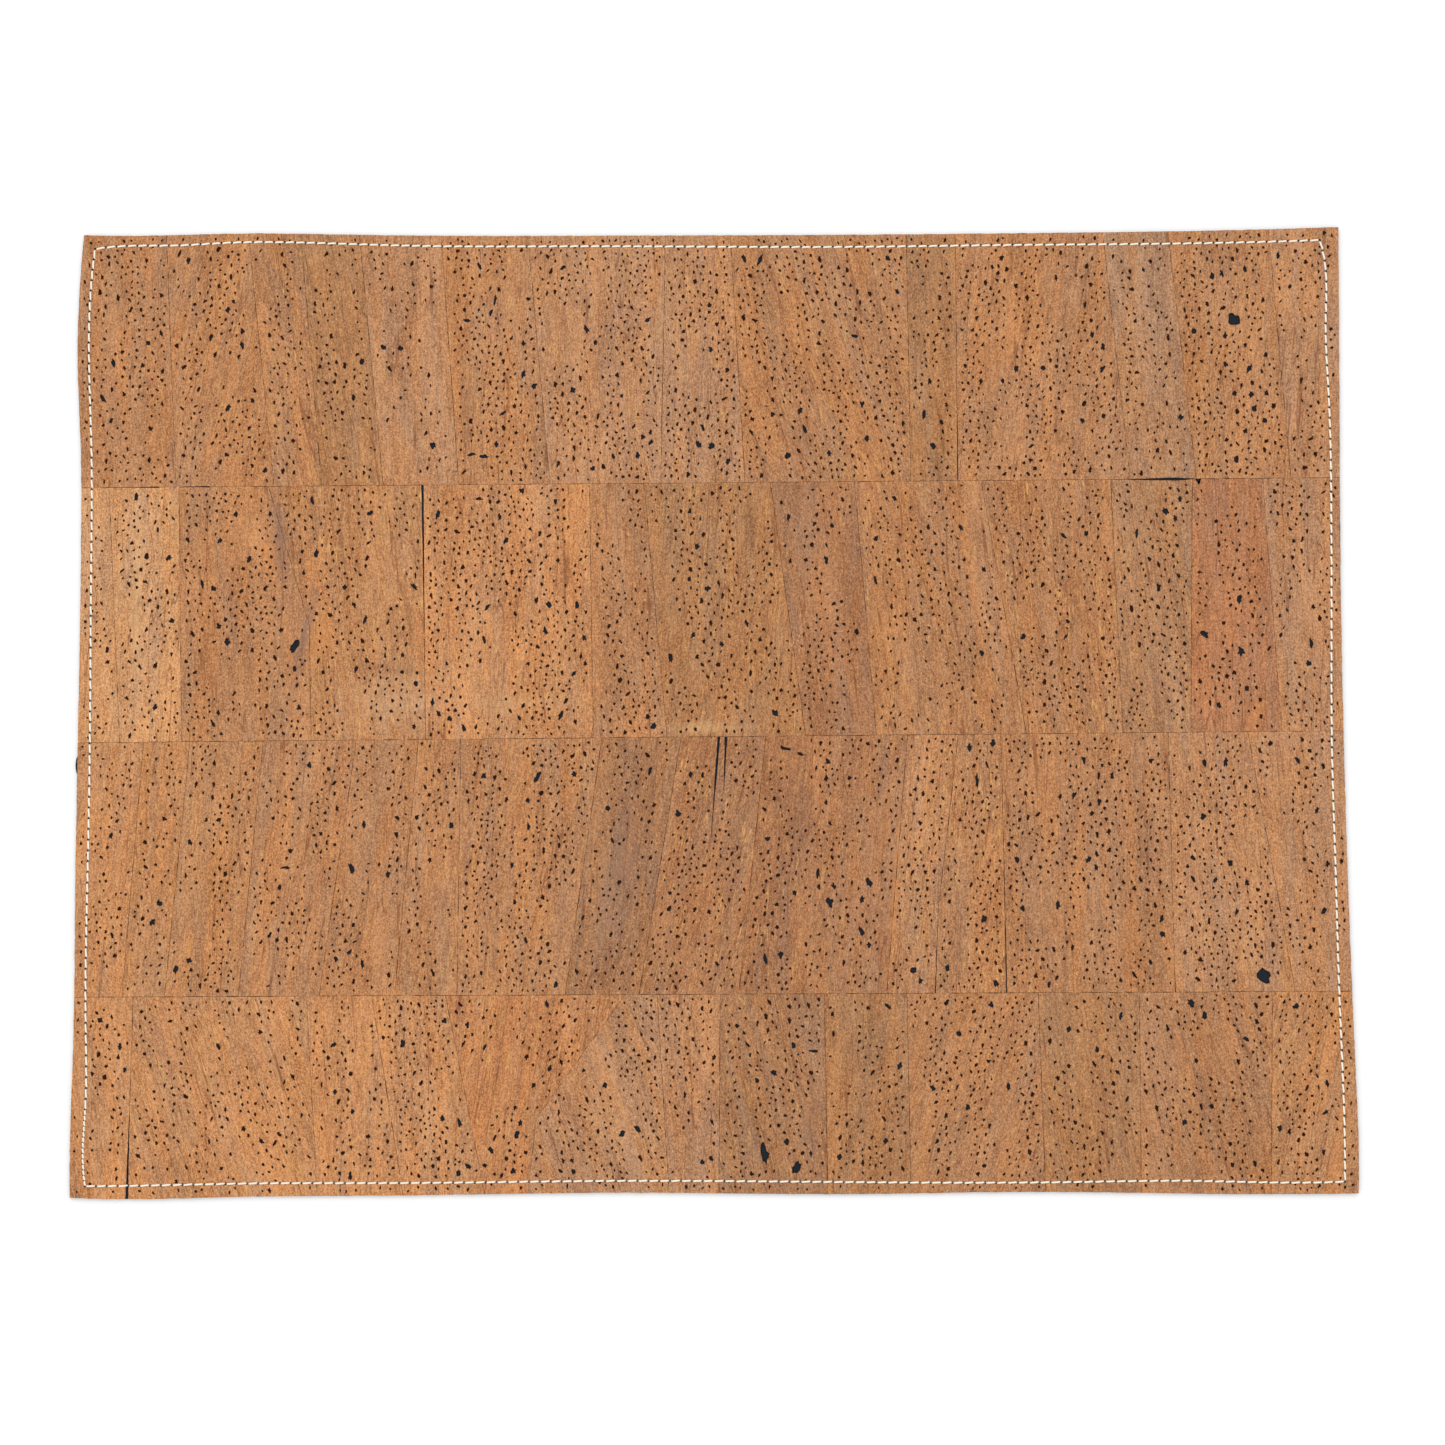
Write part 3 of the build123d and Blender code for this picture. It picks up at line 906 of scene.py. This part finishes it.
def stitch_path(a, b, top, dip, slant):
    """Points along a stitch, whose ends dip towards the two holes."""
    start, end = Vector((*a, 0)), Vector((*b, 0))
    along = (end - start).normalized()
    side = Vector((-along.y, along.x, 0))
    length = (end - start).length
    outward = 1 if dip > 0 else -1
    points = []
    for i in range(STITCH_STEPS + 1):
        t = i / STITCH_STEPS
        edge = abs(2 * t - 1)
        drop = dip * max(0.0, (edge - 0.7) / 0.3) ** 1.4
        bow = STITCH_BOW * math.sin(math.pi * t)
        sideways = slant * (t - 0.5) * 2
        spot = start + along * (length * (0.1 + 0.8 * t)) + side * sideways
        points.append(Vector((spot.x, spot.y, top - drop + bow * outward)))
    return points


def add_twist(shell, points, radius, phase, sides=12):
    """A tube of three plies laid round each other along the points."""
    rings = []
    for i, point in enumerate(points):
        ahead = points[min(i + 1, len(points) - 1)] - points[max(i - 1, 0)]
        side = Vector((-ahead.y, ahead.x, 0)).normalized()
        up = ahead.cross(side).normalized() * -1
        if up.z < 0:
            up = -up
        start = len(shell.spots)
        for k in range(sides):
            angle = 2 * math.pi * k / sides
            turned = angle - phase - i * TWIST_PER_STEP
            lobe = 1 - PLY_DEPTH * (1 - abs(math.cos(PLIES / 2 * turned)))
            sideways = side * (math.cos(angle) * radius * 1.15 * lobe)
            upwards = up * (math.sin(angle) * radius * 0.86 * lobe)
            shell.spots.append(tuple(point + sideways + upwards))
            shell.halos.append(0.0)
        rings.append(list(range(start, start + sides)))
    for first, second in zip(rings, rings[1:]):
        shell.wall(second, first)
    shell.face(rings[0][::-1])
    shell.face(rings[-1])


def make_thread(node, name, height, dip, material):
    """All the stitches of one thread."""
    shell = Shell()
    rng = random.Random(name)
    holes = seam_holes()
    for a, b in zip(holes, holes[1:] + holes[:1]):
        if math.dist(a, b) > LONGEST_STITCH:
            continue
        wobble = rng.uniform(-0.04, 0.04)
        path = stitch_path(a, b, height + wobble * 0.4, dip, STITCH_SLANT + wobble)
        add_twist(shell, path, THREAD_RADIUS, rng.uniform(0, 6))
    piece = shell.make(name, [material])
    for polygon in piece.data.polygons:
        polygon.use_smooth = True
    shown(piece, node)
    return piece


# ---- the mat ------------------------------------------------------------------------------------

cork = make_cork()
pore_wall = make_pore_wall()
planks = [make_plank(name, cork, pore_wall) for name in PLANKS]
cloth = make_sheet(CLOTH, "navy_backing", make_navy_cloth(), 0.1)
lining = make_sheet(LINING, "soft_lining", make_lining_cloth(), 0.1)
thread_material = make_thread_material()
needle = make_thread("needle_thread", "top_stitches", NEEDLE_HEIGHT, NEEDLE_DIP, thread_material)
bobbin = make_thread("bobbin_thread", "under_stitches", BOBBIN_HEIGHT, BOBBIN_DIP, thread_material)

# ---- stage, light and camera --------------------------------------------------------------------


def make_floor():
    """A plain white floor."""
    bpy.ops.mesh.primitive_plane_add(size=4)
    floor = bpy.context.object
    floor.name = "floor"
    shader = Shader("white_floor", 0.9)
    floor.data.materials.append(shader.finish((0.95, 0.95, 0.95, 1.0)))


def make_light(name, place, size, power):
    """A soft square lamp that faces the mat."""
    lamp = bpy.data.lights.new(name, "AREA")
    lamp.size = size
    lamp.energy = power
    holder = bpy.data.objects.new(name, lamp)
    holder.location = place
    holder.rotation_euler = (-Vector(place)).to_track_quat("-Z", "Y").to_euler()
    bpy.context.scene.collection.objects.link(holder)


def make_camera():
    """A camera almost straight above the mat, tilted a little towards its near side."""
    place = Vector((15.0, -84.8, 998.5)) * MM
    target = Vector((4.66, -5.33, 1.7)) * MM
    roll = math.radians(-0.206)
    lens = bpy.data.cameras.new("camera")
    lens.sensor_width = 36
    lens.lens = 70.44
    camera = bpy.data.objects.new("camera", lens)
    back = (place - target).normalized()
    right = Vector((0, 1, 0)).cross(back).normalized()
    up = back.cross(right)
    turned_right = right * math.cos(roll) + up * math.sin(roll)
    turned_up = up * math.cos(roll) - right * math.sin(roll)
    turn = Matrix((turned_right, turned_up, back)).transposed().to_4x4()
    camera.matrix_world = Matrix.Translation(place) @ turn
    bpy.context.scene.collection.objects.link(camera)
    bpy.context.scene.camera = camera


make_floor()
make_light("window_light", (-0.25, 0.4, 2.0), 2.4, 18)
world = bpy.data.worlds.new("studio")
world.use_nodes = True
world.node_tree.nodes["Background"].inputs["Color"].default_value = (1, 1, 1, 1)
world.node_tree.nodes["Background"].inputs["Strength"].default_value = 0.85
bpy.context.scene.world = world
bpy.context.scene.view_settings.view_transform = "Standard"
make_camera()
